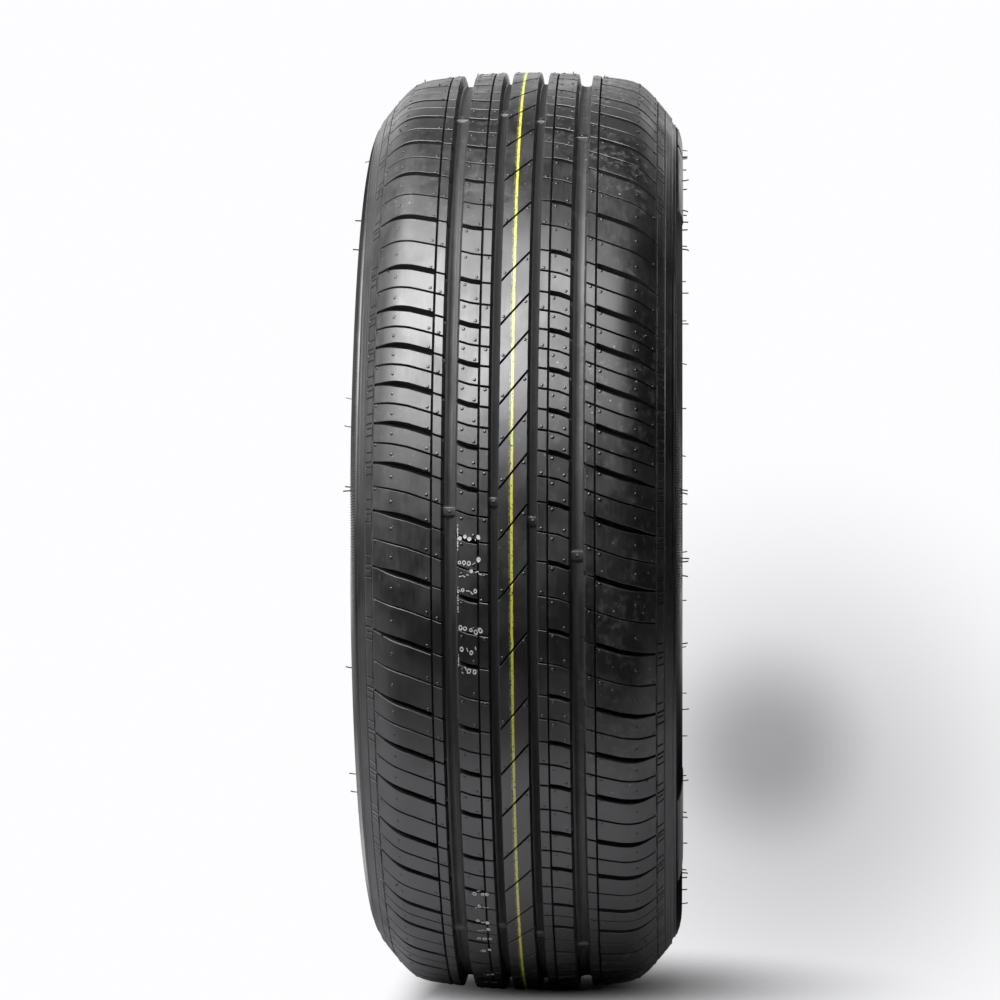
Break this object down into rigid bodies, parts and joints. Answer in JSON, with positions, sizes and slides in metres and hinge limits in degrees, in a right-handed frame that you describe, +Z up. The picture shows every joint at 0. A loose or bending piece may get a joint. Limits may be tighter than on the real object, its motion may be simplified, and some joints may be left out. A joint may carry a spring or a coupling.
{
  "type": "car tyre",
  "caption": "Radial passenger car tyre without a wheel: five-rib tread with slots and sipes, rounded shoulders, plain sidewalls and two beads round an open air chamber.",
  "frame": {"origin": "centre of the tyre, on its axle line, midway between the two beads", "axes": "+Y along the axle line, +Z up with the tyre standing on its tread, +X towards the front of the tread that the picture shows"},
  "size_m": [0.632, 0.219, 0.63],
  "materials": {
    "tread_rubber": "matt black moulded rubber with a lime stripe and white ink marks on the tread"
  },
  "bodies": {
    "root": {"tyre": "tread_rubber"}
  },
  "joints": []
}
